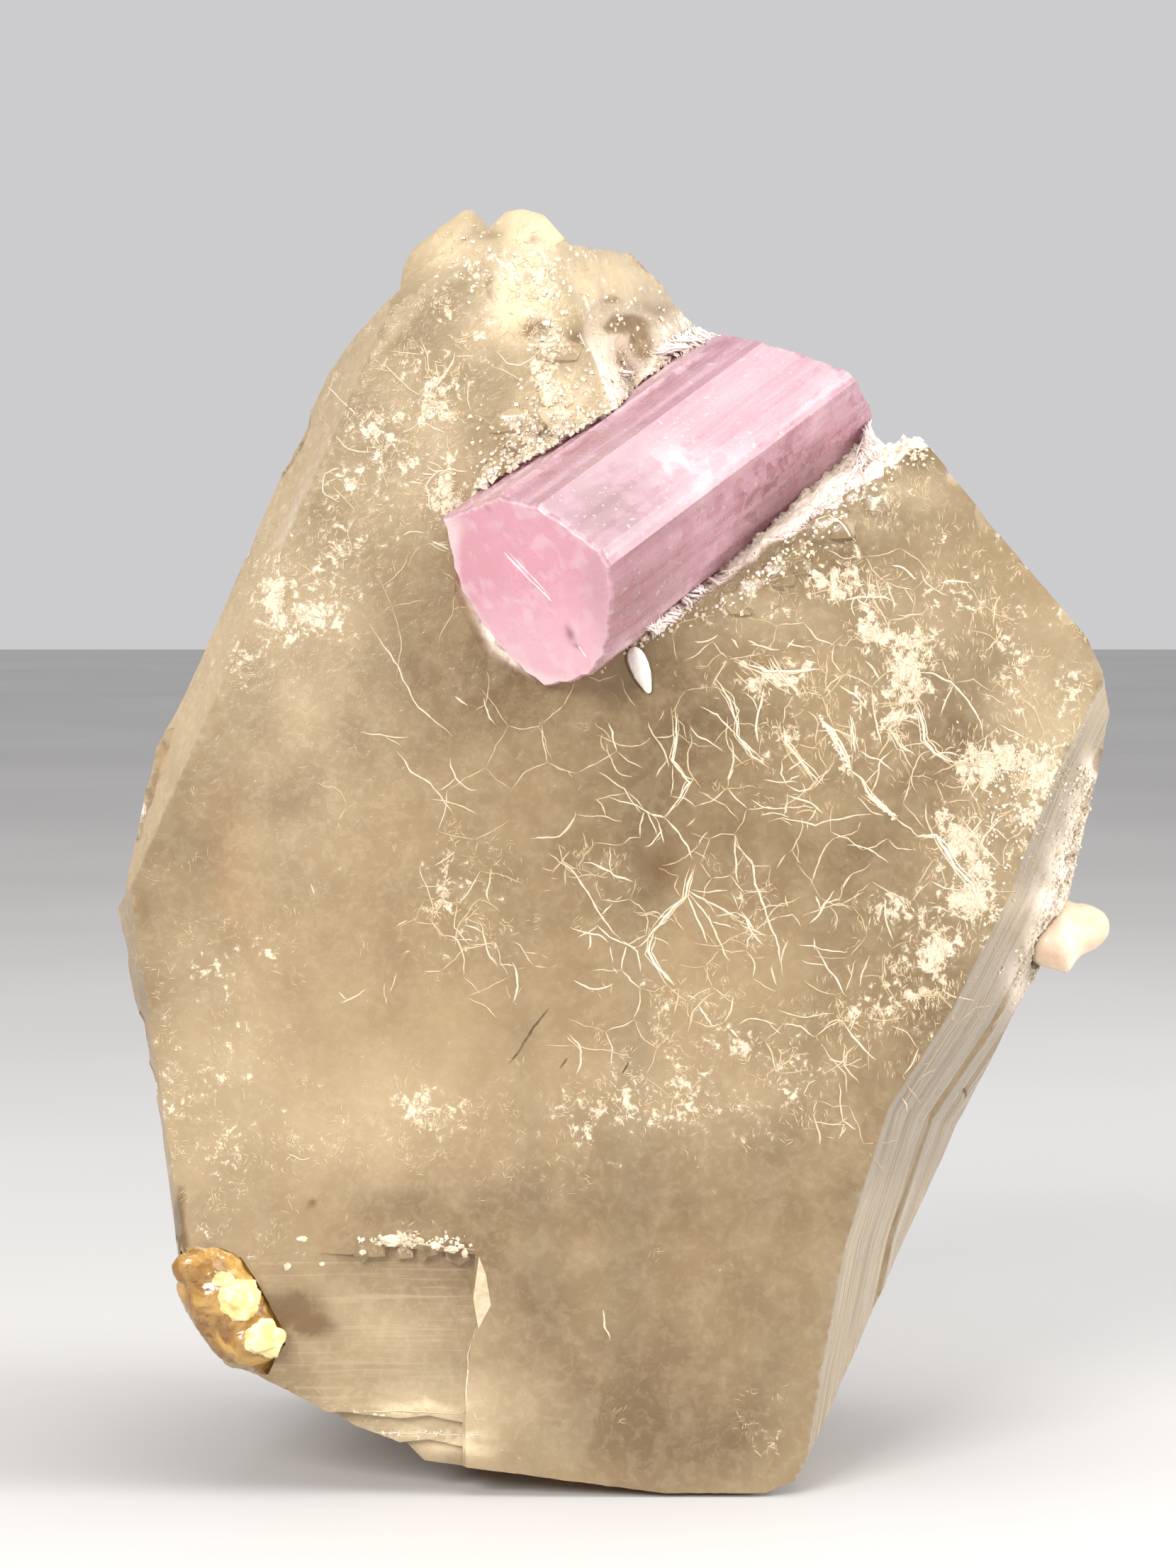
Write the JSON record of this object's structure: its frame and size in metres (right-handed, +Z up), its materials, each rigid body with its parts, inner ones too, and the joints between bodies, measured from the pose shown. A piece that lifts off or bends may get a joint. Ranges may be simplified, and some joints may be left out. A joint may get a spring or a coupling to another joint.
{
  "type": "mineral specimen",
  "caption": "Pink tourmaline prism lying in a notch across the upper front of a thick smoky quartz crystal that stands on its lower end.",
  "frame": {"origin": "on the flat facet that the specimen stands on, below the middle of the crystal", "axes": "+Z up along the height, -Y towards the viewer of the picture, +X to the viewer's right"},
  "size_m": [0.0712, 0.049, 0.09],
  "materials": {
    "smoky_quartz": "clear to milky, flat glossy faces with white fracture threads",
    "pink_tourmaline": "clear pink with milky patches, glossy, finely striated lengthwise",
    "cream_feldspar": "smooth, slightly waxy",
    "honey_crust": "glossy, iron stained",
    "white_crystal": "smooth, slightly translucent"
  },
  "bodies": {
    "root": {"quartz_crystal": "smoky_quartz", "tourmaline_crystal": "pink_tourmaline", "feldspar_nub": "cream_feldspar", "amber_lump": "honey_crust", "white_drop": "white_crystal"}
  },
  "joints": []
}
